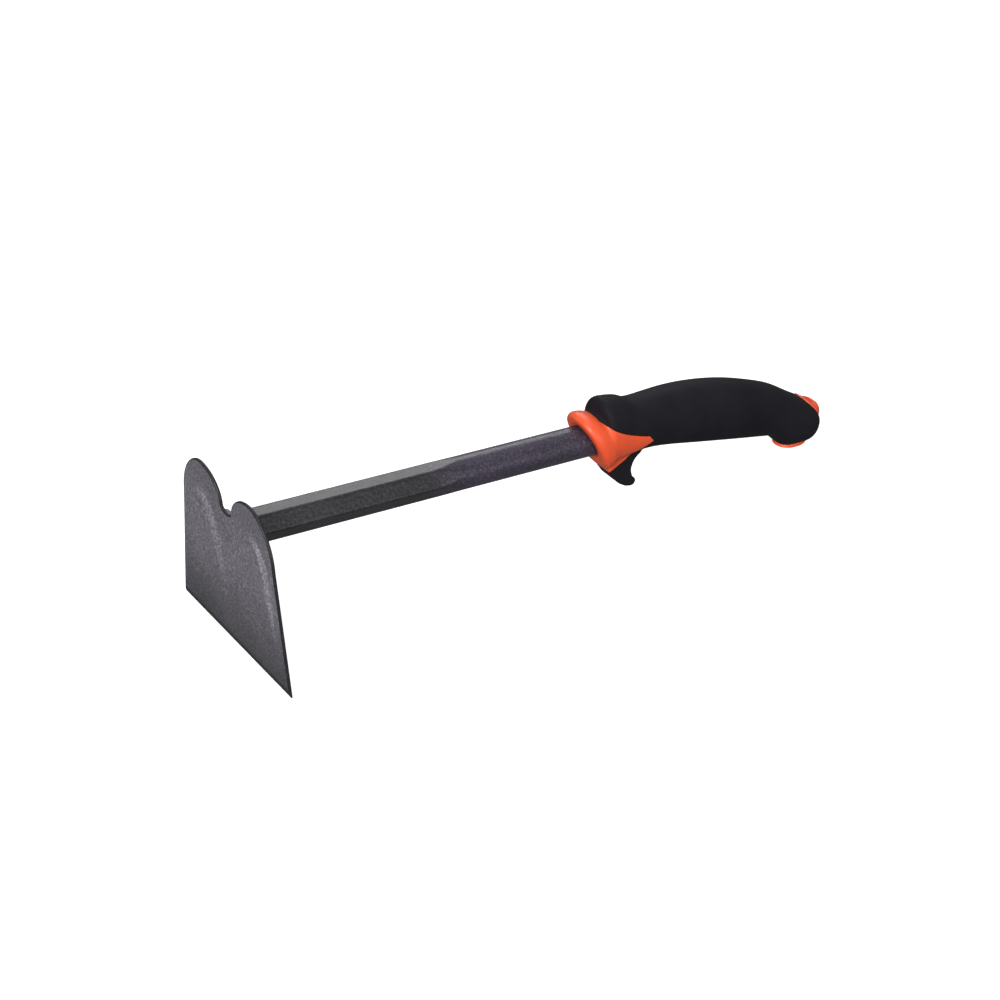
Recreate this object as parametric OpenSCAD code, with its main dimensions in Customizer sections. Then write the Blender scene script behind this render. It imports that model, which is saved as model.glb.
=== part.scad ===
// Grub hoe: a pressed steel blade welded to a tube, with a two-colour moulded handle.
// It stands as it rests on a flat floor: on its cutting edge and on the foot of its butt.
// +X runs from the blade to the handle, +Y across the tool and +Z up.
// The parts are drawn in the tube's frame: x along the tube from the blade, y across, z square to both.

/* [Blade] */
// Width of the cutting edge
blade_w = 97; // [92:0.5:102]
// Height from the cutting edge to the tops of the lobes
blade_h = 85; // [82:0.5:88]
// Thickness of the plate
blade_t = 1.6; // [1.4:0.1:2.5]
// Lean of the blade toward the handle, in degrees from square to the tube
blade_lean = 6; // [4:0.5:9]
// Height of the tube's axis above the cutting edge, along the blade
axis_height = 59.5; // [58:0.5:61]
// How far the pressed panels stand proud at their tops
panel_rise = 2; // [1:0.1:2.5]
// Length of the ground bevel on the cutting edge
bevel = 2; // [1:0.1:4]

/* [Shank] */
// Outer diameter of the round tube
tube_d = 16; // [15:0.5:17]
// Wall of the tube
tube_wall = 1.5; // [1.2:0.1:2]
// Length of the stretch that is pressed to a hexagon
hex_length = 107; // [90:1:120]
// Length of the run-out from hexagon to round
run_out = 10; // [6:1:16]
// How far the tube reaches along the handle
tube_length = 272; // [262:1:275]
// Leg of the weld bead round the tube
weld_leg = 2.4; // [1.8:0.1:2.8]

/* [Handle] */
// Half the greatest width of the grip
grip_half_width = 13; // [12.5:0.1:14]
// Where the handle ends, measured along the tube
handle_end = 335.5; // [333:0.5:338]
// Half the width of the finger hook
hook_half_width = 6; // [4:0.5:7]
// Diameter of the hole to hang the tool by
hang_hole_d = 8; // [5:0.5:9]
// Diameter of the pin that locks the core on the tube
pin_d = 4; // [3:0.5:5]

/* [Hidden] */
$fn = 96;

// Blade outline: a flared plate, square below, with two round lobes above and a notch between them.
blade_mid_x = -0.3;
lobe_top = blade_h - axis_height;
lobe_u = 21.8;
shoulder_u = 0.415 * blade_w;
shoulder_v = 2;
notch_v = 11.4;
notch_half = 4.5;
notch_bottom = 10;
shoulder_power = 1.08;

// Panel outline, inside one lobe.
panel_margin = 7.5;
panel_top = 11;
panel_foot = -46;
panel_inner = 11;
panel_inner_foot = 4;
panel_wall = 1.6;

// Tube: a pressed hexagon keeps the tube's perimeter.
tube_r = tube_d / 2;
hex_r = PI * tube_d / 6;
hex_wall = tube_wall / cos(30);
weld_top = 8.6;

// Handle core, hidden under the grip.
spine_r = 10;
spine_start = 200;
spine_end = tube_length + 6;
tail_r = 9;
tail_pitch = 19;
pin_x = 236;

// Butt boss with the hang hole. It leans with the drooping end of the handle.
boss_x = 326.6;
boss_z = -21;
boss_lean = 24;
boss_r = 7.8;
boss_half_length = 8.2;
boss_proud = 0.5;
cap_swell = 8;
cap_pivot = [320, 0, -12];
foot_proud = 2.2;

// The tool rests on the cutting edge and on the foot of the butt.
edge = turned([blade_mid_x + blade_t / 2, -axis_height], -blade_lean);
foot = [321.9, -31.3];
rest_tilt = atan2(foot[1] - edge[1], foot[0] - edge[0]);

// Side of the handle: [place along the tube, height] of its back and its belly.
back_line = [[186, 10], [190.4, 12.4], [191.7, 13.9], [193.6, 14.6], [196, 14], [199, 13.4], [200.4, 18.4],
    [202.1, 20.5], [205.5, 20.4], [209.5, 19.4], [213.5, 17.2], [219, 16.7], [240, 17.6], [256, 16.6],
    [272, 14], [288, 9.8], [304, 4.2], [318, -3.4], [330, -9.8], [336, -13]];
belly_line = [[186, -11], [190.4, -13.6], [191.7, -15.1], [193.6, -15.8], [196, -15.1], [200, -14],
    [208, -12.8], [221, -10.6], [232, -11], [256, -14.9], [288, -20.2], [299, -22], [304, -23], [309, -25.6],
    [315, -29.6], [321, -30.3], [328, -29.5], [336, -25]];
// Half width of the handle seen from above.
plan_line = [[186, 10], [190.4, 12.6], [191.7, 13.8], [193.6, 14.3], [196, 13.8], [199.5, 12], [212, 11.5],
    [240, 12.5], [275, 13], [303, 12], [320, 13], [336, 12.5]];
section_power = 2 / 2.3;
end_round = 9.5;

// The mouth of the collar slants: its top reaches forward along the tube.
mouth_x = 190.3;
mouth_slant = 0.55;
slant_end = 216;

// Side outline that parts the orange collar from the black grip.
wing_tip = [223.3, -2.4];
wing_sweep_r = 70;
wing_sweep_centre = [233.7, 69.4];
wing_bend = [211.6, -12.6];
wing_low = [203, -17.6];

// Side outline of the finger hook.
hook_front = [[200.8, -13.5], [203, -18.2], [206.6, -23], [210.5, -26.4]];
hook_tip = [217.2, -26.2];
hook_tip_r = 2.6;
hook_throat = [225, -18.8];
hook_throat_r = 8.6;

// The origin lies on the floor, midway between the foremost and the rearmost points.
front = turned([blade_mid_x - blade_t / 2 - panel_rise, panel_top], rest_tilt - blade_lean);
rear = turned([handle_end, -14.4], rest_tilt);
middle_x = (front[0] + rear[0]) / 2;
floor_z = turned(edge, rest_tilt)[1];

// A point [x, z] turned about the Y axis.
function turned(p, angle) =
    [p[0] * cos(angle) + p[1] * sin(angle), p[1] * cos(angle) - p[0] * sin(angle)];

// Slope of a table of points at index i, from its neighbours.
function slope(t, i) =
    let (a = max(i - 1, 0), b = min(i + 1, len(t) - 1))
    (t[b][1] - t[a][1]) / (t[b][0] - t[a][0]);

// Height of the smooth curve through a table of points.
function curve(t, x, i = 0) =
    i < len(t) - 2 && x > t[i + 1][0] ? curve(t, x, i + 1) :
    let (w = t[i + 1][0] - t[i][0], k = (x - t[i][0]) / w)
    t[i][1] * (1 + 2 * k) * pow(1 - k, 2) + t[i + 1][1] * k * k * (3 - 2 * k)
    + slope(t, i) * w * k * pow(1 - k, 2) - slope(t, i + 1) * w * k * k * (1 - k);

function signed_power(v, p) = sign(v) * pow(abs(v), p);

// How much a section slants at place x: fully at the mouth, not at all behind the collar.
function slant(x) = mouth_slant * pow(max(0, 1 - max(0, x - mouth_x) / (slant_end - mouth_x)), 1.4);

// Shrink of the section toward the rounded end.
function end_shrink(x) = pow(max(0, 1 - pow(max(0, x - handle_end + end_round) / end_round, 2)), 0.5);

// One cross-section of the handle.
function section(x, grow = 0, sides = 32) =
    let (top = curve(back_line, x), low = curve(belly_line, x), shrink = end_shrink(x),
        half_h = (top - low) / 2 * shrink + grow,
        half_w = curve(plan_line, x) * shrink * grip_half_width / 13 + grow,
        mid = (top + low) / 2)
    [for (i = [0 : sides - 1])
        let (a = 360 * i / sides, z = mid + half_h * signed_power(sin(a), section_power))
        [x - slant(x) * z, half_w * signed_power(cos(a), section_power), z]];

// Places of the cross-sections: closer together where the shape turns quickly.
section_places = concat([186, 188.5], [for (x = [190 : 1 : 206]) x], [for (x = [209 : 5 : 299]) x],
    [for (x = [301 : 2 : 323]) x],
    [for (a = [6 : 14 : 76]) handle_end - end_round * (1 - sin(a))], [handle_end - 0.03]);

module loft(rings) {
    sides = len(rings[0]);
    last = len(rings) - 1;
    points = [for (ring = rings) each ring];
    skin = [for (r = [0 : last - 1], i = [0 : sides - 1])
        let (a = r * sides + i, b = r * sides + (i + 1) % sides)
        each [[a, b + sides, b], [a, a + sides, b + sides]]];
    front_cap = [for (i = [0 : sides - 1]) i];
    rear_cap = [for (i = [sides - 1 : -1 : 0]) last * sides + i];
    polyhedron(points, concat(skin, [front_cap, rear_cap]));
}

// The whole handle's outer shape, before it is parted into orange and black.
module handle_form(grow = 0) {
    loft([for (x = section_places) section(x, grow)]);
}

// A slab across the tool from a side outline.
module across(half_width = 40) {
    rotate([90, 0, 0])
        translate([0, 0, -half_width])
            linear_extrude(2 * half_width)
                children();
}

// Stands the tool at rest with its origin on the floor, midway along it.
module at_rest() {
    translate([-middle_x, 0, -floor_z])
        rotate([0, rest_tilt, 0])
            children();
}

// Blade coordinates: u across, v up the blade, thickness along x, with x = 0 at mid-thickness.
module plate(thickness) {
    rotate([90, 0, 90])
        linear_extrude(thickness)
            children();
}

module in_blade_frame() {
    rotate([0, -blade_lean, 0])
        translate([blade_mid_x, 0, 0])
            children();
}

function half_outline() = concat(
    [[blade_w / 2, -axis_height]],
    [for (a = [0 : 7.5 : 90])
        [lobe_u + (shoulder_u - lobe_u) * pow(cos(a), shoulder_power),
            shoulder_v + (lobe_top - shoulder_v) * pow(sin(a), shoulder_power)]],
    [for (a = [82.5 : -7.5 : 0])
        [lobe_u - (lobe_u - notch_half) * cos(a), notch_v + (lobe_top - notch_v) * sin(a)]],
    [[notch_half * 0.45, notch_bottom + 0.25], [0, notch_bottom]]);

function mirrored(points) = [for (i = [len(points) - 1 : -1 : 0]) [-points[i][0], points[i][1]]];

module blade_outline() {
    right = half_outline();
    polygon(concat(right, mirrored([for (i = [0 : len(right) - 2]) right[i]])));
}

// Outer edge of a panel at height v: it runs along the flared side of the blade.
function panel_side(v, inset) =
    shoulder_u + (blade_w / 2 - shoulder_u) * (shoulder_v - v) / (axis_height + shoulder_v)
    - panel_margin - inset;

module panel_outline(inset) {
    top = panel_top - inset;
    outer = panel_side(0, inset);
    inner = panel_inner + inset;
    middle = (outer + inner) / 2;
    polygon(concat(
        [[panel_inner_foot + inset, panel_foot], [panel_side(panel_foot, inset), panel_foot]],
        [for (a = [0 : 15 : 180]) [middle + (outer - inner) / 2 * cos(a), top * sin(a)]]));
}

// One pressed panel: as high as panel_rise at its top, fading to nothing at its foot.
module panel_form(inset) {
    fade = atan2(panel_rise, panel_top - panel_foot);
    intersection() {
        translate([-panel_rise - 1, 0, 0])
            plate(panel_rise + 1)
                panel_outline(inset);
        translate([0, 0, panel_foot])
            rotate([0, -fade, 0])
                translate([0, -blade_w, -5])
                    cube([20, 2 * blade_w, 2 * blade_h]);
    }
}

module both_sides() {
    children();
    mirror([0, 1, 0])
        children();
}

module blade() {
    color("dimgray")
    at_rest()
    in_blade_frame()
    difference() {
        union() {
            translate([-blade_t / 2, 0, 0])
                plate(blade_t)
                    blade_outline();
            translate([-blade_t / 2, 0, 0])
                both_sides()
                    panel_form(0);
        }
        translate([blade_t / 2, 0, 0])
            both_sides()
                panel_form(panel_wall);
        // Ground bevel along the front of the cutting edge.
        translate([-blade_t / 2, 0, -axis_height])
            across(blade_w)
                polygon([[-1, -1], [blade_t / 2, -1], [blade_t / 2, 0], [0, bevel], [-1, bevel]]);
    }
}

// Everything in front of the back face of the blade.
module ahead_of_blade_back() {
    in_blade_frame()
        translate([blade_t / 2 - 40, -60, -60])
            cube([40, 120, 120]);
}

module hexagon_bar(radius, from, to) {
    translate([from, 0, 0])
        rotate([90, 0, 90])
            cylinder(r = radius, h = to - from, $fn = 6);
}

module round_bar(radius, from, to) {
    translate([from, 0, 0])
        rotate([0, 90, 0])
            cylinder(r = radius, h = to - from);
}

// The shank's outline, or its bore when it is shrunk by the wall.
module shank_form(radius, hexagon, from, to) {
    hexagon_bar(hexagon, from, hex_length);
    hull() {
        hexagon_bar(hexagon, hex_length - 0.01, hex_length);
        translate([hex_length + run_out, 0, 0])
            rotate([0, 90, 0])
                cylinder(r = radius, h = 0.01, $fn = 36);
    }
    round_bar(radius, hex_length + run_out, to);
}

module shank_tube() {
    color("slategray")
    at_rest()
    difference() {
        shank_form(tube_r, hex_r, -5, tube_length);
        shank_form(tube_r - tube_wall, hex_r - hex_wall, -6, tube_length + 1);
        ahead_of_blade_back();
        pin_form();
    }
}

module blade_weld() {
    color("gray")
    at_rest()
    difference() {
        translate([-2, 0, 0])
            rotate([0, 90, 0])
                cylinder(r1 = hex_r + weld_leg + 2.4, r2 = hex_r, h = weld_leg + 4);
        hexagon_bar(hex_r, -6, 20);
        ahead_of_blade_back();
        in_blade_frame()
            translate([-5, -30, weld_top])
                cube([20, 60, 20]);
    }
}

module tube_plug() {
    color("ivory")
    at_rest()
    round_bar(tube_r - tube_wall, tube_length - 12, tube_length);
}

module pin_form() {
    translate([pin_x, 0, 0])
        rotate([90, 0, 0])
            cylinder(d = pin_d, h = 2 * spine_r - 2, center = true);
}

module lock_pin() {
    color("silver")
    at_rest()
    pin_form();
}

// Side outline of the orange collar: the ring in front and the wing swept back from it.
module collar_outline() {
    sweep_from = 234.5;
    sweep_to = 259;
    polygon(concat(
        [[160, 30], [192.5, 30]],
        [for (a = [sweep_from : 3.5 : sweep_to])
            wing_sweep_centre + wing_sweep_r * [cos(a), sin(a)]],
        [wing_tip, wing_bend, wing_low, wing_low + [-1, -20], [160, -30]]));
}

// Everything ahead of the slanted mouth of the collar.
module ahead_of_mouth() {
    across()
        polygon([[mouth_x - 40 * mouth_slant - 60, 40], [mouth_x - 40 * mouth_slant, 40],
            [mouth_x + 40 * mouth_slant, -40], [mouth_x - 40 * mouth_slant - 60, -40]]);
}

module collar_form() {
    intersection() {
        union() {
            difference() {
                handle_form();
                ahead_of_mouth();
            }
            hook_form();
        }
        across()
            collar_outline();
    }
}

// Hard spine that carries the grip: round the tube, then down into the butt.
module spine_form() {
    round_bar(spine_r, spine_start, spine_end);
    translate([spine_end - 8, 0, -1])
        rotate([0, tail_pitch, 0])
            round_bar(tail_r, 0, boss_x - spine_end + 3);
}

// Oval bar through the butt, longer than the butt is deep.
module boss_form() {
    translate([boss_x, 0, boss_z])
        rotate([0, boss_lean, 0])
            translate([0, 0, -40])
                linear_extrude(80) {
                    both_ends()
                        translate([boss_half_length - boss_r, 0])
                            circle(r = boss_r);
                    square([2 * (boss_half_length - boss_r), 2 * boss_r], center = true);
                }
}

module both_ends() {
    children();
    mirror([1, 0])
        children();
}

// Everything under the floor that the butt's foot stands on.
module below_foot() {
    translate([foot[0], 0, foot[1]])
        rotate([0, -rest_tilt, 0])
            translate([-60, -60, -60])
                cube([120, 120, 60]);
}

module hang_hole_form() {
    translate([boss_x, 0, boss_z])
        rotate([0, boss_lean, 0])
            cylinder(d = hang_hole_d, h = 80, center = true);
}

// How far the boss reaches: on top it swells toward the rear, and below it stands out as a foot.
module boss_reach() {
    translate(cap_pivot)
        rotate([0, -cap_swell, 0])
            translate(-cap_pivot)
                handle_form(boss_proud);
    translate([0, 0, -foot_proud])
        handle_form(boss_proud);
}

module core_form() {
    collar_form();
    spine_form();
    difference() {
        intersection() {
            boss_form();
            boss_reach();
        }
        below_foot();
        // The cap ends flush with the rear of the grip.
        translate([handle_end, -20, -60])
            cube([20, 40, 80]);
    }
}

module handle_core() {
    color("orangered")
    at_rest()
    difference() {
        core_form();
        round_bar(tube_r, 150, tube_length);
        pin_form();
        hang_hole_form();
    }
}

module grip_overmould() {
    color("#1e1e26")
    at_rest()
    difference() {
        handle_form();
        across()
            collar_outline();
        ahead_of_mouth();
        spine_form();
        boss_form();
    }
}

// Side outline of the hook: it hangs under the collar and curls back round the forefinger.
module hook_outline() {
    difference() {
        union() {
            polygon(concat(hook_front, [hook_tip + hook_tip_r * [-0.34, -0.94],
                hook_tip + [hook_tip_r, 0], hook_tip + [7, 22], hook_front[0] + [2, 12]]));
            translate(hook_tip)
                circle(r = hook_tip_r, $fn = 48);
        }
        translate(hook_throat)
            circle(r = hook_throat_r);
    }
}

module hook_form() {
    across(hook_half_width)
        hook_outline();
}

module finger_hook() {
    color("#16161c")
    at_rest()
    difference() {
        hook_form();
        handle_form();
        across()
            collar_outline();
    }
}

blade();
blade_weld();
shank_tube();
tube_plug();
lock_pin();
handle_core();
grip_overmould();
finger_hook();
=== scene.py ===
"""Grub hoe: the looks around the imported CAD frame.

Lengths are in millimetres in the tool's own frame: x along the tube from the blade, y across and z square
to both. place() turns them into metres, in the CAD frame. Materials, lights and camera are in metres.
"""

import math

import bmesh
import bpy
import numpy as np
from mathutils import Matrix, Vector


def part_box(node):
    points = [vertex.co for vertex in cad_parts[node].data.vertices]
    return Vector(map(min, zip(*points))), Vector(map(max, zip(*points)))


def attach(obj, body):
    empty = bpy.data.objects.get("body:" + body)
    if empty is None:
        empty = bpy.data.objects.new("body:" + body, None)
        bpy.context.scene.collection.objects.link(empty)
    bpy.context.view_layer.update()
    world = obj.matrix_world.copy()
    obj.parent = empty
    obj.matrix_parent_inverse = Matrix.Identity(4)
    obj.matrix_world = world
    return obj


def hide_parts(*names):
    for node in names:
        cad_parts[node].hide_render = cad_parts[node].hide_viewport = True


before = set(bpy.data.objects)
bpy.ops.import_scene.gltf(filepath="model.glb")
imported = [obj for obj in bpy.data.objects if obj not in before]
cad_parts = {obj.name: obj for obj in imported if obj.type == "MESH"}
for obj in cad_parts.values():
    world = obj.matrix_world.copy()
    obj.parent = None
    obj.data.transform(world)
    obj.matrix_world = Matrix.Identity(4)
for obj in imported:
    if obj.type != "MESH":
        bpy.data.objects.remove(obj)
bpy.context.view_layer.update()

MM = 0.001
BAR_SIDES = 96

# Blade
BLADE_W, BLADE_H, PLATE_T = 97.0, 85.0, 1.6
BLADE_LEAN = math.radians(6)
AXIS_HEIGHT = 59.5
BLADE_MID_X = -0.3
LOBE_TOP, LOBE_U = BLADE_H - AXIS_HEIGHT, 21.8
SHOULDER_U, SHOULDER_V = 0.415 * BLADE_W, 2.0
NOTCH_HALF, NOTCH_V, NOTCH_BOTTOM, NOTCH_SOFT = 4.5, 11.4, 10.0, 0.28
CROWN_POWER = 1.08
BEVEL, BEVEL_SHARE = 2.0, 0.42
EDGE_ROUND = 0.6
EDGE_RINGS = (0.62, 0.3, 0.1, 0.0)
EDGE_ROWS = [0.0, 0.9, 1.5, 1.95, 2.15, 2.6, 3.4]
BLADE_COLS, BLADE_ROWS = 90, 84

# The blade's two pressed panels
PANEL_RISE, PANEL_MARGIN = 1.9, 5.6
PANEL_INNER_WALL, PANEL_OUTER_WALL = 4.6, 1.3
PANEL_INNER = [[-60, 1.5], [-45, 1.8], [-30, 3.0], [-20, 4.6], [-11, 6.4], [-3, 8.2], [5, 10.4], [30, 12]]
PANEL_CROWN_V, PANEL_CROWN, PANEL_FADE = -3.0, 15.6, 50.0

# Shank
TUBE_R, TUBE_WALL = 8.0, 1.5
HEX_APOTHEM = 7.26
HEX_CORNER_R = 8.12
HEX_LENGTH, RUN_OUT, TUBE_LENGTH = 107.0, 12.0, 272.0
FLAT_EASE, FLAT_POWER, FLAT_GROWTH, CORNER_BLEND = 0.4, 1.35, 0.62, 0.22
WELD_TOP, WELD_LEG, WELD_STRETCH, RIPPLES, RIPPLE_DEPTH = 8.6, 2.5, 1.25, 44, 0.32
PIN_X = 236.0

# Handle
HANDLE_START, HANDLE_END, END_ROUND = 186.0, 335.5, 9.5
MOUTH_X, MOUTH_SLANT, SLANT_END = 190.3, 0.55, 216.0
MOUTH_GAP = 1.4
BOSS_X, BOSS_Z, BOSS_LEAN = 326.6, -21.0, math.radians(24)
BOSS_PROUD, FOOT_PROUD = 0.2, 1.9
DOME_AT, DOME_SIZE = (330.6, -14.6), (5.6, 7.8, 5.2)
CAP_SWELL, CAP_PIVOT = math.radians(5), (320.0, -12.0)
BOSS_R, HOLE_R = 7.8, 4.0
SPINE_START, SPINE_PAST_TUBE, SPINE_R = 200.0, 6.0, 10.0
TAIL_LEAN, TAIL_LENGTH, TAIL_R = math.radians(19), 51.0, 9.0
BORE_GAP, BLACK_GAP, BOSS_GAP = 0.3, 0.25, 0.2
HOOK_HALF = 6.0

# Softening of the moulded forms: voxel size in mm, and rounds of smoothing
MOULD_VOXEL, MOULD_ROUNDS = 0.4, 22
BOSS_VOXEL, BOSS_ROUNDS = 0.35, 14


# ---------------------------------------------------------------- the frame's place in the world

pin_low, pin_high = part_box("lock_pin")
plug_low, plug_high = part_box("tube_plug")
pin_at, plug_at = (pin_low + pin_high) / 2, (plug_low + plug_high) / 2
along = (plug_at - pin_at).normalized()
TILT = math.atan2(-along.z, along.x)
tube_start = pin_at - along * PIN_X * MM


def place(points):
    """Points of the tool's own frame, in mm, as metres in the row frame."""
    p = np.asarray(points, float).reshape(-1, 3) * MM
    c, s = math.cos(TILT), math.sin(TILT)
    return np.stack([p[:, 0] * c + p[:, 2] * s + tube_start.x, p[:, 1],
                     -p[:, 0] * s + p[:, 2] * c + tube_start.z], 1)


# ---------------------------------------------------------------- mesh helpers


def smoothstep(x):
    x = np.clip(x, 0.0, 1.0)
    return x * x * (3 - 2 * x)


def hermite(table, x):
    """Smooth curve through a table of [place, value]."""
    t = np.asarray(table, float)
    x = np.asarray(x, float)
    slope = np.zeros(len(t))
    for i in range(len(t)):
        a, b = max(i - 1, 0), min(i + 1, len(t) - 1)
        slope[i] = (t[b, 1] - t[a, 1]) / (t[b, 0] - t[a, 0])
    i = np.clip(np.searchsorted(t[:, 0], x) - 1, 0, len(t) - 2)
    w = t[i + 1, 0] - t[i, 0]
    k = (x - t[i, 0]) / w
    return (t[i, 1] * (1 + 2 * k) * (1 - k) ** 2 + t[i + 1, 1] * k * k * (3 - 2 * k)
            + slope[i] * w * k * (1 - k) ** 2 - slope[i + 1] * w * k * k * (1 - k))


def new_mesh(name, points, faces, smooth=True):
    """A piece from points in metres, with doubles merged and its normals turned outward."""
    mesh = bpy.data.meshes.new(name)
    mesh.from_pydata([tuple(p) for p in points], [], [tuple(int(i) for i in f) for f in faces])
    mesh.validate()
    mesh.update()
    piece = bpy.data.objects.new(name, mesh)
    bpy.context.scene.collection.objects.link(piece)
    bm = bmesh.new()
    bm.from_mesh(mesh)
    bmesh.ops.remove_doubles(bm, verts=bm.verts, dist=1e-7)
    bmesh.ops.recalc_face_normals(bm, faces=bm.faces)
    bm.to_mesh(mesh)
    bm.free()
    if smooth:
        mesh.polygons.foreach_set("use_smooth", [True] * len(mesh.polygons))
    return piece


def loft(name, rings, capped=True):
    """A skin over rings of equal point counts, in mm of the tool's own frame."""
    rings = [np.asarray(r, float) for r in rings]
    n = len(rings[0])
    faces = []
    for r in range(len(rings) - 1):
        for i in range(n):
            j = (i + 1) % n
            faces.append((r * n + i, r * n + j, (r + 1) * n + j, (r + 1) * n + i))
    if capped:
        faces.append(tuple(reversed(range(n))))
        faces.append(tuple((len(rings) - 1) * n + i for i in range(n)))
    return new_mesh(name, place(np.concatenate(rings)), faces)


def bar(name, start, end, radius):
    """A round bar between two points of the tool's own frame."""
    a, b = Vector(start), Vector(end)
    axis = (b - a).normalized()
    u = axis.orthogonal().normalized()
    v = axis.cross(u)
    turns = [2 * math.pi * i / BAR_SIDES for i in range(BAR_SIDES)]
    return loft(name, [[at + radius * (math.cos(t) * u + math.sin(t) * v) for t in turns] for at in (a, b)])


def slab(name, outline, half_width=40.0):
    """A slab across the tool from a side outline of (x, z) points."""
    n = len(outline)
    points = [(x, -half_width, z) for x, z in outline] + [(x, half_width, z) for x, z in outline]
    faces = [(i, (i + 1) % n, n + (i + 1) % n, n + i) for i in range(n)]
    faces += [tuple(reversed(range(n))), tuple(range(n, 2 * n))]
    return new_mesh(name, place(points), faces, smooth=False)


def apply_modifiers(piece):
    """Turn the piece's modifiers into its own mesh."""
    bpy.context.view_layer.update()
    evaluated = piece.evaluated_get(bpy.context.evaluated_depsgraph_get())
    mesh = bpy.data.meshes.new_from_object(evaluated)
    piece.modifiers.clear()
    old = piece.data
    piece.data = mesh
    bpy.data.meshes.remove(old)
    return piece


def combine(piece, other, operation):
    """Boolean of two solids. The second is used up."""
    m = piece.modifiers.new("combine", "BOOLEAN")
    m.operation = operation
    m.solver = "EXACT"
    m.object = other
    apply_modifiers(piece)
    bpy.data.objects.remove(other)
    return piece


def copy_of(piece, name):
    """A second piece with a mesh of its own."""
    twin = piece.copy()
    twin.data = piece.data.copy()
    twin.name = name
    bpy.context.scene.collection.objects.link(twin)
    return twin


def soften(piece, voxel, rounds):
    """Even quads with softly rounded edges, as a moulding has."""
    m = piece.modifiers.new("even", "REMESH")
    m.mode = "VOXEL"
    m.voxel_size = voxel * MM
    m.use_smooth_shade = True
    s = piece.modifiers.new("round", "SMOOTH")
    s.factor = 0.5
    s.iterations = rounds
    return apply_modifiers(piece)


# ---------------------------------------------------------------- blade


def half_w(v):
    """Half the blade's width at height v, measured from the tube's axis."""
    return BLADE_W / 2 + (SHOULDER_U - BLADE_W / 2) * (v + AXIS_HEIGHT) / (SHOULDER_V + AXIS_HEIGHT)


def top_edge(count):
    """Evenly spaced points along the top, from the middle of the notch over a lobe to the shoulder."""
    points = [(0.0, NOTCH_BOTTOM)]
    for a in np.radians(np.linspace(90, 0, 60)):
        points.append((LOBE_U - (LOBE_U - NOTCH_HALF) * math.cos(math.pi / 2 - a),
                       NOTCH_V + (LOBE_TOP - NOTCH_V) * math.sin(math.pi / 2 - a)))
    for a in np.radians(np.linspace(90, 0, 90)[1:]):
        points.append((LOBE_U + (SHOULDER_U - LOBE_U) * math.cos(a) ** CROWN_POWER,
                       SHOULDER_V + (LOBE_TOP - SHOULDER_V) * math.sin(a) ** CROWN_POWER))
    p = np.array(points)
    # The notch's own bottom corner is round.
    corner = p[:2].mean(0)
    p = np.concatenate([[p[0]], [[corner[0], corner[1] - NOTCH_SOFT]], p[1:]])
    s = np.concatenate([[0], np.cumsum(np.linalg.norm(np.diff(p, axis=0), axis=1))])
    at = np.linspace(0, s[-1], count)
    return np.stack([np.interp(at, s, p[:, 0]), np.interp(at, s, p[:, 1])], 1)


def panel_height(u, v):
    """How far the two pressed panels stand out at a point of the blade."""
    u = np.abs(u)
    inner = hermite(PANEL_INNER, v)
    outer = half_w(v) - PANEL_MARGIN
    middle, half = (inner + outer) / 2, (outer - inner) / 2
    level = np.maximum(0.0, v - PANEL_CROWN_V) / PANEL_CROWN
    inside = 1 - np.sqrt(((u - middle) / half) ** 2 + level ** 2)
    outward = smoothstep(((u - middle) / half + 1) / 2)
    wall = smoothstep(inside * half / (PANEL_INNER_WALL + (PANEL_OUTER_WALL - PANEL_INNER_WALL) * outward))
    fade = smoothstep((v + PANEL_FADE) / PANEL_FADE)
    return PANEL_RISE * wall * fade


def bevelled(v):
    """How far the front is ground back near the cutting edge."""
    return np.clip((BEVEL - (v + AXIS_HEIGHT)) / BEVEL, 0, 1) * PLATE_T * BEVEL_SHARE


def rim_of(n_rows, n_cols):
    """The places round the border of a grid, in order."""
    return ([(0, j) for j in range(n_cols)]
            + [(i, n_cols - 1) for i in range(1, n_rows)]
            + [(n_rows - 1, j) for j in range(n_cols - 2, -1, -1)]
            + [(i, 0) for i in range(n_rows - 2, 0, -1)])


def spread(low_rows, top):
    """Rows of the grid, shared out between the last of the low rows and the top edge."""
    rows = list(low_rows)
    for k in np.linspace(0, 1, BLADE_ROWS)[1:]:
        rows.append((1 - k) * low_rows[-1] + k * top)
    return np.array(rows)


def blade_grids(low_v):
    """The plate's true border, the same pulled in from it, and the list of the border's places."""
    top = top_edge(BLADE_COLS + 1)
    top = np.concatenate([top[:0:-1] * [-1, 1], top])
    across = np.linspace(-1, 1, 2 * BLADE_COLS + 1)
    grid = spread([np.stack([across * half_w(v), np.full(len(across), v)], 1) for v in low_v], top)
    n_rows, n_cols = grid.shape[:2]
    ring = rim_of(n_rows, n_cols)
    edge = np.array([grid[i, j] for i, j in ring])
    # The grid is pulled in from the rim, so that rings of the rounded edge fit outside it.
    tangent = np.roll(edge, -1, 0) - np.roll(edge, 1, 0)
    tangent /= np.linalg.norm(tangent, axis=1)[:, None]
    pulled = edge + np.stack([-tangent[:, 1], tangent[:, 0]], 1) * EDGE_ROUND
    top_inner = np.array([pulled[ring.index((n_rows - 1, j))] for j in range(n_cols)])
    side_scale = 1 - EDGE_ROUND / half_w(low_v)
    inner = spread([np.stack([across * half_w(v) * side_scale[k],
                              np.full(n_cols, max(v, -AXIS_HEIGHT + EDGE_ROUND))], 1)
                    for k, v in enumerate(low_v)], top_inner)
    return edge, inner, ring


def join_loops(one, two, faces, rim):
    """A band of rim faces between two loops of points."""
    n = len(one)
    rim.extend(range(len(faces), len(faces) + n))
    faces.extend((one[i], one[(i + 1) % n], two[(i + 1) % n], two[i]) for i in range(n))


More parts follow.
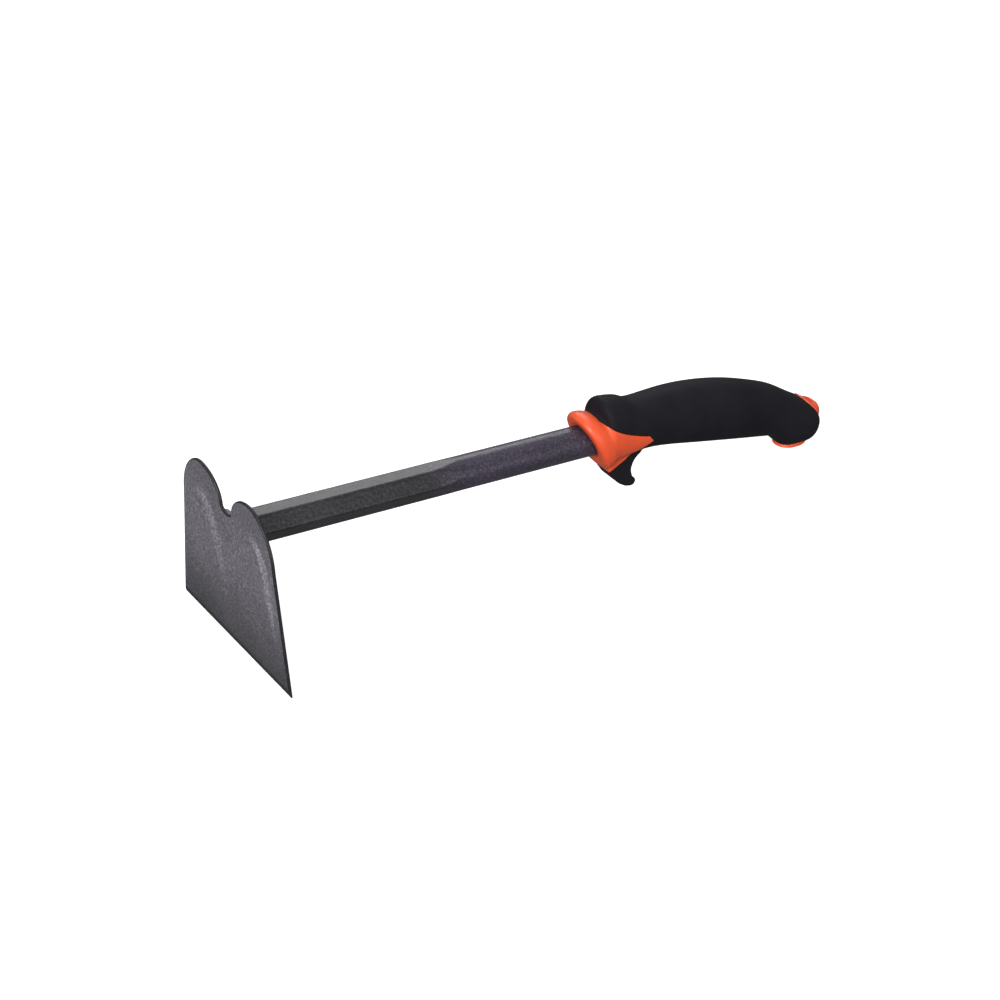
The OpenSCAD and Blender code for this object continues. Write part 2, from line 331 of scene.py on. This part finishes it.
def face_x(front, u, v, drop=0.0):
    """Where the plate's front or back face lies, a drop nearer its middle."""
    side = -1 if front else 1
    return side * (PLATE_T / 2 - drop) - panel_height(u, v) + (bevelled(v) if front else 0)


def blade_face(front, low_v, inner, points, faces, rim):
    """One flat side of the plate. Ground faces near the cutting edge count as rim."""
    n_rows, n_cols = inner.shape[:2]
    base = len(points)
    u, v = inner[..., 0], inner[..., 1]
    points.extend(np.stack([face_x(front, u, v), u, v], -1).reshape(-1, 3))
    for i in range(n_rows - 1):
        # The ground bevel's faces are put with the rim, so they take its painted shade.
        ground = front and low_v[min(i, len(low_v) - 1)] < BEVEL - 0.1 - AXIS_HEIGHT
        for j in range(n_cols - 1):
            q = base + i * n_cols + j
            if ground:
                rim.append(len(faces))
            faces.append((q, q + 1, q + n_cols + 1, q + n_cols))
    return base


def blade_skin(front, low_v, grids, points, faces, rim):
    """One side of the plate with its half of the rounded rim. Returns the rim's last loop."""
    edge, inner, ring = grids
    base = blade_face(front, low_v, inner, points, faces, rim)
    border = np.array([inner[i, j] for i, j in ring])
    loops = [[base + i * inner.shape[1] + j for i, j in ring]]
    for part in EDGE_RINGS:
        drop = EDGE_ROUND * (1 - math.sqrt(1 - (1 - part) ** 2))
        u, v = (edge + (border - edge) * part).T
        start = len(points)
        points.extend(np.stack([face_x(front, u, v, drop), u, v], -1))
        loops.append(list(range(start, start + len(ring))))
    for one, two in zip(loops, loops[1:]):
        join_loops(one, two, faces, rim)
    return loops[-1]


def blade_sheet():
    """The pressed plate, with a rounded rim and a ground bevel, and the list of its rim faces."""
    low_v = -AXIS_HEIGHT + np.array(EDGE_ROWS)
    grids = blade_grids(low_v)
    points, faces, rim = [], [], []
    front = blade_skin(True, low_v, grids, points, faces, rim)
    back = blade_skin(False, low_v, grids, points, faces, rim)
    join_loops(front, back, faces, rim)
    p = np.array(points)
    p[:, 0] += BLADE_MID_X
    c, s = math.cos(BLADE_LEAN), math.sin(BLADE_LEAN)
    tool = np.stack([p[:, 0] * c - p[:, 2] * s, p[:, 1], p[:, 0] * s + p[:, 2] * c], 1)
    return new_mesh("blade_plate", place(tool), faces), rim


# ---------------------------------------------------------------- shank and weld


def blade_back_x(z):
    """Where the back of the plate lies at height z."""
    return (BLADE_MID_X + PLATE_T / 2 - z * math.sin(BLADE_LEAN)) / math.cos(BLADE_LEAN)


def soft_min(a, b, k):
    """The smaller of two values, blended over k where they meet."""
    h = np.clip(0.5 + 0.5 * (b - a) / k, 0, 1)
    return b + (a - b) * h - k * h * (1 - h)


def shank_radius(x, theta):
    """Radius of the tube at place x: flats that run out into the round."""
    run = np.clip((x - HEX_LENGTH) / RUN_OUT, -FLAT_EASE, 1.6)
    apothem = HEX_APOTHEM + np.maximum(0, run + FLAT_EASE) ** FLAT_POWER * FLAT_GROWTH
    corner = TUBE_R + (HEX_CORNER_R - TUBE_R) * (1 - smoothstep((x - HEX_LENGTH + 4) / (RUN_OUT + 4)))
    step = math.pi / 3
    off = (theta - math.pi / 2 + step / 2) % step - step / 2
    return soft_min(corner, apothem / np.cos(off), CORNER_BLEND)


def shank_ring(x, theta, wall=0.0):
    """One ring of the tube. The ring at 0 follows the back of the plate."""
    r = shank_radius(x, theta) - wall
    y, z = r * np.cos(theta), r * np.sin(theta)
    return np.stack([np.full(len(theta), x) if x > 0 else blade_back_x(z) + 0.02, y, z], 1)


def shank_skin():
    """The tube, outside and inside."""
    theta = np.linspace(0, 2 * math.pi, 144, endpoint=False)
    places = np.concatenate([np.linspace(0, HEX_LENGTH - 6, 34),
                             np.linspace(HEX_LENGTH - 5, HEX_LENGTH + 20, 51),
                             np.linspace(HEX_LENGTH + 23, TUBE_LENGTH, 36)])
    rings = [shank_ring(x, theta) for x in places]
    rings += [shank_ring(x, theta, TUBE_WALL)
              for x in (TUBE_LENGTH, HEX_LENGTH + RUN_OUT + 6, HEX_LENGTH - 4, 0)]
    rings.append(rings[0])
    return loft("shank", rings, capped=False)


def weld_bead():
    """A fillet of overlapping ripples round the tube, on the back of the plate."""
    theta = np.linspace(0, 2 * math.pi, 540, endpoint=False)
    r = shank_radius(0.0, theta)
    turn = theta * RIPPLES / (2 * math.pi)
    wave = 1 - 0.5 * np.abs(np.sin(math.pi * turn)) ** 0.6
    size = 1 + 0.06 * np.sin(3 * theta + 0.6) + 0.04 * np.sin(7 * theta + 2.0)
    leg = WELD_LEG * size + RIPPLE_DEPTH * (1 - wave)
    # Under the notch the bead is dressed down, so that it does not show above it.
    room = np.where(np.sin(theta) > 0.6, WELD_TOP / np.maximum(np.sin(theta), 0.6) - r, 9.0)
    rings = []
    for k in np.linspace(0, 1, 12):
        a = k * math.pi / 2
        bulge = 1 + 0.10 * math.sin(2 * a)
        out = np.minimum(leg * (math.cos(a) ** 1.25) * bulge, room)
        up = leg * WELD_STRETCH * (math.sin(a) ** 1.25) * bulge
        z = (r + out) * np.sin(theta)
        rings.append(np.stack([blade_back_x(z) + up - 0.05, (r + out) * np.cos(theta), z], 1))
    for out, up in ((-0.5, 0.9), (-0.5, -0.05)):
        z = (r + out) * np.sin(theta)
        x = blade_back_x(z) + leg * max(up, 0) * WELD_STRETCH - 0.05
        rings.append(np.stack([x, (r + out) * np.cos(theta), z], 1))
    rings.append(rings[0])
    return loft("weld_bead", rings, capped=False)


# ---------------------------------------------------------------- handle

# Side lines and half width of the grip, as [x, value].
BACK = [[186, 10], [190.4, 12.4], [191.7, 13.9], [193.6, 14.6], [196, 14], [199, 13.4], [200.4, 18.4],
        [202.1, 20.5], [205.5, 20.4], [209.5, 19.4], [213.5, 17.2], [219, 16.7], [240, 17.6], [256, 16.6],
        [272, 14], [288, 9.8], [304, 4.2], [318, -3.4], [330, -9.8], [336, -13]]
BELLY = [[186, -11], [190.4, -13.6], [191.7, -15.1], [193.6, -15.8], [196, -15.1], [200, -14],
         [208, -12.8], [221, -10.6], [232, -11], [256, -14.9], [288, -20.2], [299, -22], [304, -23],
         [309, -26.8], [314, -30.6], [321, -30.9], [328, -29.8], [336, -25]]
PLAN = [[186, 10], [190.4, 12.6], [191.7, 13.5], [193.6, 13.8], [196, 13.6], [200, 12.9], [206, 12.1],
        [212, 11.6], [240, 12.5], [275, 13], [303, 12], [320, 13], [336, 12.5]]
POWER = 2 / 2.3


def handle_section(x, grow=0.0):
    """One ring of the handle's outer form: a squarish oval that leans with the mouth."""
    a = np.linspace(0, 2 * math.pi, 128, endpoint=False)
    top, low = hermite(BACK, x), hermite(BELLY, x)
    shrink = math.sqrt(max(0.0, 1 - (max(0.0, x - HANDLE_END + END_ROUND) / END_ROUND) ** 2))
    half_h = (top - low) / 2 * shrink + grow
    half_wide = hermite(PLAN, x) * shrink + grow
    middle = (top + low) / 2
    sn, cs = np.sin(a), np.cos(a)
    z = middle + half_h * np.sign(sn) * np.abs(sn) ** POWER
    y = half_wide * np.sign(cs) * np.abs(cs) ** POWER
    slant = MOUTH_SLANT * max(0.0, 1 - max(0.0, x - MOUTH_X) / (SLANT_END - MOUTH_X)) ** 1.4
    return np.stack([x - slant * z, y, z], 1)


def handle_form(name, grow=0.0, move=None):
    """The handle's outer form from the mouth to the rounded butt."""
    places = list(np.linspace(HANDLE_START, SLANT_END, 61))
    places += list(np.linspace(SLANT_END + 1.5, HANDLE_END - END_ROUND - 1, 90))
    places += [HANDLE_END - END_ROUND * (1 - math.sin(a)) for a in np.radians(np.linspace(0, 86, 24))]
    places += [HANDLE_END - 0.006]
    rings = [handle_section(x, grow) for x in places]
    return loft(name, [move(r) for r in rings] if move else rings)


def arc(centre, radius, start, end, count):
    """Points (x, z) along an arc, its angles in degrees."""
    return [(centre[0] + radius * math.cos(a), centre[1] + radius * math.sin(a))
            for a in np.radians(np.linspace(start, end, count))]


WING_TIP, WING_BEND, WING_LOW = (223.3, -2.4), (211.6, -12.6), (203.0, -17.6)
SWEEP_CENTRE, SWEEP_R = (233.7, 69.4), 70.0


def collar_outline(gap=0.0):
    """Side outline of the orange collar, its black border moved back by a gap."""
    sweep = arc((SWEEP_CENTRE[0] + gap * 0.6, SWEEP_CENTRE[1] + gap), SWEEP_R, 234.5, 259, 30)
    return ([(160, 30), (192.5 + gap, 30)] + sweep
            + [(WING_TIP[0] + gap, WING_TIP[1] + gap * 0.3), (WING_TIP[0] + gap * 0.6, WING_TIP[1] - gap)]
            + [(WING_BEND[0] + gap * 0.6, WING_BEND[1] - gap), (WING_LOW[0] + gap, WING_LOW[1] - gap)]
            + [(WING_LOW[0] - 1.5 + gap, WING_LOW[1] - 20), (160, -30)])


def mouth_cutter(reach=0.0):
    """Everything in front of the slanting mouth of the collar, moved back by a reach."""
    x = MOUTH_X + reach
    return slab("mouth", [(x - 40 * MOUTH_SLANT - 60, 40), (x - 40 * MOUTH_SLANT, 40),
                          (x + 40 * MOUTH_SLANT, -40), (x - 40 * MOUTH_SLANT - 60, -40)])


HOOK_FRONT = [(200.8, -13.5), (203, -18.2), (206.6, -23), (210.5, -26.4), (214, -28.2)]
HOOK_TIP, HOOK_TIP_R = (217.2, -26.2), 2.6
THROAT, THROAT_R = (225.0, -18.8), 8.6


def hook_outline():
    """Side outline of the finger hook, its root sunk in the belly."""
    tip = arc(HOOK_TIP, HOOK_TIP_R, -112, 38, 16)
    throat = arc(THROAT, THROAT_R, 232, 118, 26)
    return list(HOOK_FRONT) + tip + throat + [(223, -6), (199.5, -3)]


def boss_bar(name, radius):
    """A round bar along the axis of the butt's boss and hang hole."""
    centre, axis = Vector((BOSS_X, 0, BOSS_Z)), Vector((math.sin(BOSS_LEAN), 0, math.cos(BOSS_LEAN)))
    return bar(name, centre - axis * 40, centre + axis * 40, radius)


def swell(ring):
    """The cap on top of the butt: turned up toward the rear."""
    c, t = math.cos(CAP_SWELL), math.sin(CAP_SWELL)
    x, z = ring[:, 0] - CAP_PIVOT[0], ring[:, 2] - CAP_PIVOT[1]
    return np.stack([CAP_PIVOT[0] + x * c - z * t, ring[:, 1], CAP_PIVOT[1] + x * t + z * c], 1)


def lower(ring):
    """The foot under the butt: the form let down."""
    return ring - [0.0, 0.0, FOOT_PROUD]


def dome():
    """The swollen rear of the cap."""
    turn = np.linspace(0, 2 * math.pi, 64, endpoint=False)
    rings = []
    for a in np.radians(np.linspace(-88, 88, 45)):
        across = DOME_SIZE[1] * math.cos(a) * np.cos(turn)
        high = DOME_SIZE[2] * math.cos(a) * np.sin(turn)
        x = np.full(64, DOME_AT[0] + DOME_SIZE[0] * math.sin(a))
        rings.append(np.stack([x, across, DOME_AT[1] + high], 1))
    return loft("dome", rings)


def boss():
    """The orange boss through the butt, with its cap and foot, cut flush at the handle's end."""
    foot = handle_form("foot_reach", BOSS_PROUD, lower)
    reach = combine(handle_form("cap_reach", BOSS_PROUD, swell), foot, "UNION")
    reach = combine(reach, dome(), "UNION")
    solid = combine(boss_bar("boss", BOSS_R), reach, "INTERSECT")
    far = HANDLE_END + 30
    beyond = slab("beyond", [(HANDLE_END, -60), (far, -60), (far, 30), (HANDLE_END, 30)])
    solid = combine(solid, beyond, "DIFFERENCE")
    return soften(solid, BOSS_VOXEL, BOSS_ROUNDS)


def spine(grow=0.0):
    """The core's stem inside the grip, with a tail bent down into the butt."""
    core = bar("spine", (SPINE_START, 0, 0), (TUBE_LENGTH + SPINE_PAST_TUBE, 0, 0), SPINE_R + grow)
    tail_from = Vector((TUBE_LENGTH - 2, 0, -1))
    tail_to = tail_from + Vector((math.cos(TAIL_LEAN), 0, -math.sin(TAIL_LEAN))) * TAIL_LENGTH
    return combine(core, bar("tail", tail_from, tail_to, TAIL_R + grow), "UNION")


def floor_cutter():
    """Everything under the floor, where the butt's foot is flat."""
    points = [(x, y, z) for z in (-0.05, 0.0) for y in (-0.1, 0.1) for x in (0.1, 0.25)]
    faces = [(0, 1, 3, 2), (4, 6, 7, 5), (0, 4, 5, 1), (2, 3, 7, 6), (0, 2, 6, 4), (1, 5, 7, 3)]
    return new_mesh("under_floor", points, faces, smooth=False)


def moulding():
    """The whole handle with its hook as one softly rounded form, before it is parted into pieces."""
    form = combine(handle_form("moulding"), mouth_cutter(), "DIFFERENCE")
    form = combine(form, slab("hook", hook_outline(), HOOK_HALF), "UNION")
    return soften(form, MOULD_VOXEL, MOULD_ROUNDS)


def mouth_gap():
    """Room round the tube just inside the mouth of the collar."""
    gap = bar("gap", (150, 0, 0), (230, 0, 0), TUBE_R + MOUTH_GAP)
    return combine(gap, mouth_cutter(5.0), "INTERSECT")


def orange_core(form):
    """The collar, spine and boss in one, bored for the tube and through the butt."""
    core = combine(form, slab("border", collar_outline()), "INTERSECT")
    core = combine(core, spine(), "UNION")
    core = combine(core, boss(), "UNION")
    core = combine(core, bar("bore", (150, 0, 0), (TUBE_LENGTH, 0, 0), TUBE_R + BORE_GAP), "DIFFERENCE")
    core = combine(core, mouth_gap(), "DIFFERENCE")
    core = combine(core, boss_bar("hole", HOLE_R), "DIFFERENCE")
    core = combine(core, floor_cutter(), "DIFFERENCE")
    core.name = "orange_core"
    return core


def under_belly(name):
    """Everything under the belly where the hook hangs."""
    line = [(x, float(hermite(BELLY, x)) - 0.3) for x in np.linspace(198, 234, 25)]
    return slab(name, [(190, -45), (250, -45), (250, line[-1][1])] + line[::-1] + [(190, line[0][1])])


def black_pieces(form):
    """The grip and the hook, parted under the belly."""
    form = combine(form, slab("border", collar_outline(BLACK_GAP)), "DIFFERENCE")
    hook = combine(copy_of(form, "black_hook"), under_belly("below"), "INTERSECT")
    grip = combine(form, under_belly("below"), "DIFFERENCE")
    grip = combine(grip, spine(BLACK_GAP), "DIFFERENCE")
    grip = combine(grip, boss_bar("boss_space", BOSS_R + BOSS_GAP), "DIFFERENCE")
    grip.name = "black_grip"
    return grip, hook


# ---------------------------------------------------------------- materials


def material(name, **sockets):
    """A new material, its constant sockets set. Returns it with its tree and its shader."""
    m = bpy.data.materials.new(name)
    m.use_nodes = True
    shader = m.node_tree.nodes["Principled BSDF"]
    for key, value in sockets.items():
        shader.inputs[key.replace("_", " ")].default_value = value
    return m, m.node_tree, shader


def node(tree, kind, inputs=None, **settings):
    """A shader node, with each input linked to a socket or set to a value."""
    n = tree.nodes.new(kind)
    for key, value in settings.items():
        setattr(n, key, value)
    for key, value in (inputs or {}).items():
        if isinstance(value, bpy.types.NodeSocket):
            tree.links.new(value, n.inputs[key])
        else:
            n.inputs[key].default_value = value
    return n


def object_place(tree):
    return node(tree, "ShaderNodeTexCoord").outputs["Object"]


def ramp(tree, factor, stops):
    """A colour ramp from (position, colour) stops."""
    r = node(tree, "ShaderNodeValToRGB", {"Fac": factor})
    elements = r.color_ramp.elements
    while len(elements) < len(stops):
        elements.new(0.5)
    for e, (at, colour) in zip(elements, stops):
        e.position = at
        e.color = (*colour, 1) if len(colour) == 3 else colour
    return r.outputs["Color"]


def multiply(tree, one, two):
    """The product of two colours."""
    mixed = node(tree, "ShaderNodeMix", {"Factor": 1.0, "A": one, "B": two}, data_type="RGBA",
                 blend_type="MULTIPLY")
    return mixed.outputs["Result"]


def grey(v):
    return (v, v, v)


def scaled(tree, value, low, high):
    """A value of 0 to 1 spread over low to high."""
    span = node(tree, "ShaderNodeMapRange", {"Value": value, "To Min": low, "To Max": high})
    return span.outputs["Result"]


def scaled_from(tree, value, start, end):
    """A value of start to end brought to 0 to 1."""
    span = node(tree, "ShaderNodeMapRange", {"Value": value, "From Min": start, "From Max": end})
    return span.outputs["Result"]


def bump(tree, height, distance, strength, normal=None):
    """A normal from a height, laid over another normal if one is given."""
    inputs = {"Height": height, "Distance": distance, "Strength": strength}
    if normal is not None:
        inputs["Normal"] = normal
    return node(tree, "ShaderNodeBump", inputs).outputs["Normal"]


def hammered_coat(name, tone=1.0, metallic=0.3, roughness=(0.36, 0.54), relief=1.0, painted_shade=None):
    """Dark grey hammered powder coat: small rounded dimples and fine pale flecks."""
    m, tree, shader = material(name, Metallic=metallic)
    at = object_place(tree)
    cells = node(tree, "ShaderNodeTexVoronoi", {"Vector": at, "Scale": 620.0, "Smoothness": 0.6},
                 feature="SMOOTH_F1").outputs["Distance"]
    fine = node(tree, "ShaderNodeTexNoise", {"Vector": at, "Scale": 950.0, "Detail": 3.0}).outputs["Fac"]
    broad = node(tree, "ShaderNodeTexNoise", {"Vector": at, "Scale": 55.0, "Detail": 4.0}).outputs["Fac"]
    dark, middle, pale = (tuple(v * tone * c for c in (1.0, 0.95, 1.10)) for v in (0.062, 0.098, 0.172))
    base = ramp(tree, fine, [(0.32, dark), (0.52, middle), (0.70, pale)])
    cloud = multiply(tree, base, ramp(tree, broad, [(0.3, grey(0.88)), (0.7, grey(1.08))]))
    # Painted shade: the coat's colour is scaled along one axis of the piece, standing in for light and
    # shade.
    if painted_shade:
        axis, start, end, stops = painted_shade
        along_axis = node(tree, "ShaderNodeSeparateXYZ", {"Vector": at}).outputs[axis]
        cloud = multiply(tree, cloud, ramp(tree, scaled_from(tree, along_axis, start, end), stops))
    tree.links.new(cloud, shader.inputs["Base Color"])
    tree.links.new(scaled(tree, fine, *roughness), shader.inputs["Roughness"])
    rough = bump(tree, fine, 0.00010, 0.4 * relief)
    tree.links.new(bump(tree, cells, 0.00022, 0.5 * relief, rough), shader.inputs["Normal"])
    return m


def orange_plastic():
    """Hard orange plastic with the fine satin grain of a moulding."""
    deep, pale = (0.72, 0.077, 0.021), (0.78, 0.092, 0.026)
    m, tree, shader = material("orange_plastic", IOR=1.49)
    shader.inputs["Subsurface Weight"].default_value = 0.08
    shader.inputs["Subsurface Radius"].default_value = (0.004, 0.0015, 0.0008)
    at = object_place(tree)
    grain = node(tree, "ShaderNodeTexNoise", {"Vector": at, "Scale": 2600.0, "Detail": 2.0}).outputs["Fac"]
    broad = node(tree, "ShaderNodeTexNoise", {"Vector": at, "Scale": 70.0, "Detail": 3.0}).outputs["Fac"]
    colour = ramp(tree, broad, [(0.3, deep), (0.7, pale)])
    tree.links.new(colour, shader.inputs["Base Color"])
    tree.links.new(scaled(tree, grain, 0.34, 0.50), shader.inputs["Roughness"])
    tree.links.new(bump(tree, grain, 0.00004, 0.35), shader.inputs["Normal"])
    return m


def soft_black():
    """Soft-touch black rubber: very fine pebbled grain, rubbed a little smoother in places."""
    deep, pale = (0.0095, 0.0090, 0.0120), (0.0140, 0.0130, 0.0170)
    m, tree, shader = material("soft_black", IOR=1.45)
    shader.inputs["Specular IOR Level"].default_value = 0.07
    at = object_place(tree)
    pebble = node(tree, "ShaderNodeTexVoronoi", {"Vector": at, "Scale": 1500.0, "Smoothness": 0.8},
                  feature="SMOOTH_F1").outputs["Distance"]
    broad = node(tree, "ShaderNodeTexNoise", {"Vector": at, "Scale": 45.0, "Detail": 4.0}).outputs["Fac"]
    colour = ramp(tree, broad, [(0.3, deep), (0.7, pale)])
    tree.links.new(colour, shader.inputs["Base Color"])
    tree.links.new(scaled(tree, broad, 0.50, 0.66), shader.inputs["Roughness"])
    tree.links.new(bump(tree, pebble, 0.00006, 0.4), shader.inputs["Normal"])
    return m


def plain_trim(name, colour, roughness, metallic):
    """A lightly grained finish for the parts inside the handle."""
    m, tree, shader = material(name, Metallic=metallic)
    at = object_place(tree)
    grain = node(tree, "ShaderNodeTexNoise", {"Vector": at, "Scale": 900.0, "Detail": 3.0}).outputs["Fac"]
    dark = tuple(c * 0.85 for c in colour)
    tree.links.new(ramp(tree, grain, [(0.3, dark), (0.7, colour)]), shader.inputs["Base Color"])
    tree.links.new(scaled(tree, grain, roughness - 0.08, roughness + 0.08), shader.inputs["Roughness"])
    tree.links.new(bump(tree, grain, 0.00003, 0.3), shader.inputs["Normal"])
    return m


def dress(piece, finishes, slot, *nodes):
    """Give a piece its finishes, and let it stand for its nodes of the CAD."""
    piece.data.materials.clear()
    for finish in finishes:
        piece.data.materials.append(finish)
    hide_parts(*nodes)
    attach(piece, "root")


# Painted shade: the blade's coat is darker toward its cutting edge and the tops of its lobes, standing in
# for the light falling off down the blade and the shade on its downward-facing ground bevel.
BLADE_TONE, RIM_SHADE_TONE, SHANK_TONE = 1.62, 0.16, 0.42
BLADE_PAINTED_SHADE = ("Z", 0.0, 0.085, [(0.0, grey(0.09)), (0.036, grey(0.13)), (0.052, grey(0.36)),
                                 (0.25, grey(0.64)), (0.50, grey(1.0)), (0.70, grey(0.96)),
                                 (1.0, grey(0.78))])
# Painted shade: the coat on the hexagon is darkened and on the round of the tube lightened and made more
# purple, standing in for the darker reflections on the hexagon's flats.
SHANK_PAINTED_SHADE = ("X", -0.066, -0.046, [(0.0, (0.56, 0.55, 0.58)), (1.0, (1.14, 1.00, 1.30))])

blade_coat = hammered_coat("hammered_coat", BLADE_TONE, metallic=0.1, roughness=(0.60, 0.76), relief=0.45,
                           painted_shade=BLADE_PAINTED_SHADE)
# Painted shade: a far darker copy of the coat for the plate's rim and ground bevel, standing in for the
# shade on faces turned from the light.
rim_painted_shade = hammered_coat("rim_painted_shade", RIM_SHADE_TONE)
shank_coat = hammered_coat("shank_coat", SHANK_TONE, roughness=(0.30, 0.46), painted_shade=SHANK_PAINTED_SHADE)
orange, black = orange_plastic(), soft_black()
plate, rim = blade_sheet()
dress(plate, (blade_coat, rim_painted_shade), "hammered_coat", "blade")
# The rim and bevel faces get the painted-shade coat.
for index in rim:
    plate.data.polygons[index].material_index = 1
dress(shank_skin(), (shank_coat,), "hammered_coat", "shank_tube")
dress(weld_bead(), (shank_coat,), "hammered_coat", "blade_weld")
whole = moulding()
dress(orange_core(copy_of(whole, "collar")), (orange,), "orange_plastic", "handle_core")
grip, hook = black_pieces(whole)
dress(grip, (black,), "soft_black", "grip_overmould")
dress(hook, (black,), "soft_black", "finger_hook")
for cad, finish in (("tube_plug", plain_trim("plug_plastic", (0.60, 0.57, 0.50), 0.5, 0.0)),
                    ("lock_pin", plain_trim("pin_steel", (0.55, 0.55, 0.56), 0.35, 1.0))):
    cad_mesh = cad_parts[cad].data
    cad_mesh.materials.clear()
    cad_mesh.materials.append(finish)


# ---------------------------------------------------------------- camera, floor and light

CAMERA_AT = Vector((-0.5647, -0.7980, 0.6535))
AZIMUTH, ELEVATION, ROLL = (math.radians(a) for a in (-34.153, 33.049, 0.602))
SENSOR_WIDTH, FOCAL_LENGTH = 36.0, 88.56
FLOOR_HALF, FLOOR_TONE, FLOOR_GLOW = 6.0, 0.62, 0.75
LIGHTS_AIM = (0, 0, 0.03)

back = Vector((math.sin(AZIMUTH) * math.cos(ELEVATION), -math.cos(AZIMUTH) * math.cos(ELEVATION),
               math.sin(ELEVATION)))
right = Vector((0, 0, 1)).cross(back).normalized()
up = back.cross(right)
turned_right = right * math.cos(ROLL) + up * math.sin(ROLL)
turned_up = back.cross(turned_right)
lens = bpy.data.cameras.new("camera")
lens.sensor_width = SENSOR_WIDTH
lens.lens = FOCAL_LENGTH
lens.clip_start, lens.clip_end = 0.01, 50.0
camera = bpy.data.objects.new("camera", lens)
camera.matrix_world = Matrix.Translation(CAMERA_AT) @ Matrix(
    (turned_right, turned_up, back)).transposed().to_4x4()
bpy.context.scene.collection.objects.link(camera)
bpy.context.scene.camera = camera


def make_floor():
    """The plain pale ground."""
    size = FLOOR_HALF
    floor = new_mesh("floor", [(-size, -size, 0), (size, -size, 0), (size, size, 0), (-size, size, 0)],
                     [(0, 1, 2, 3)], smooth=False)
    m, tree, shader = material("pale_floor", Roughness=0.75)
    shader.inputs["Base Color"].default_value = (*grey(FLOOR_TONE), 1)
    shader.inputs["Emission Color"].default_value = (1, 1, 1, 1)
    shader.inputs["Emission Strength"].default_value = FLOOR_GLOW
    floor.data.materials.append(m)
    # The glow isn't let onto the object, whose undersides would come out too bright.
    floor.visible_diffuse = False
    floor.visible_glossy = False


def area_light(name, at, size, power):
    """A soft rectangular lamp turned toward the tool."""
    lamp = bpy.data.lights.new(name, "AREA")
    lamp.shape = "RECTANGLE"
    lamp.size, lamp.size_y = size
    lamp.energy = power
    holder = bpy.data.objects.new(name, lamp)
    holder.location = at
    holder.rotation_euler = (Vector(LIGHTS_AIM) - Vector(at)).to_track_quat("-Z", "Y").to_euler()
    bpy.context.scene.collection.objects.link(holder)


make_floor()
area_light("key", (-1.25, -1.00, 1.00), (0.6, 0.6), 34)
area_light("side", (0.1, -1.70, 0.35), (1.5, 0.6), 9)
area_light("top", (0.2, 0.1, 1.7), (1.3, 1.0), 6)
area_light("back", (0.75, 1.15, 0.90), (0.8, 0.5), 7)


def studio_world():
    """Brighter above the horizon than below it."""
    world = bpy.data.worlds.new("studio")
    bpy.context.scene.world = world
    world.use_nodes = True
    tree = world.node_tree
    toward = node(tree, "ShaderNodeTexCoord").outputs["Generated"]
    height = node(tree, "ShaderNodeSeparateXYZ", {"Vector": toward}).outputs["Z"]
    sky = ramp(tree, scaled_from(tree, height, -1, 1),
               [(0.40, grey(0.20)), (0.58, grey(0.26)), (0.85, grey(0.42))])
    tree.links.new(sky, tree.nodes["Background"].inputs["Color"])
    tree.nodes["Background"].inputs["Strength"].default_value = 1.0


studio_world()
bpy.context.scene.view_settings.view_transform = "Standard"

bpy.context.view_layer.update()
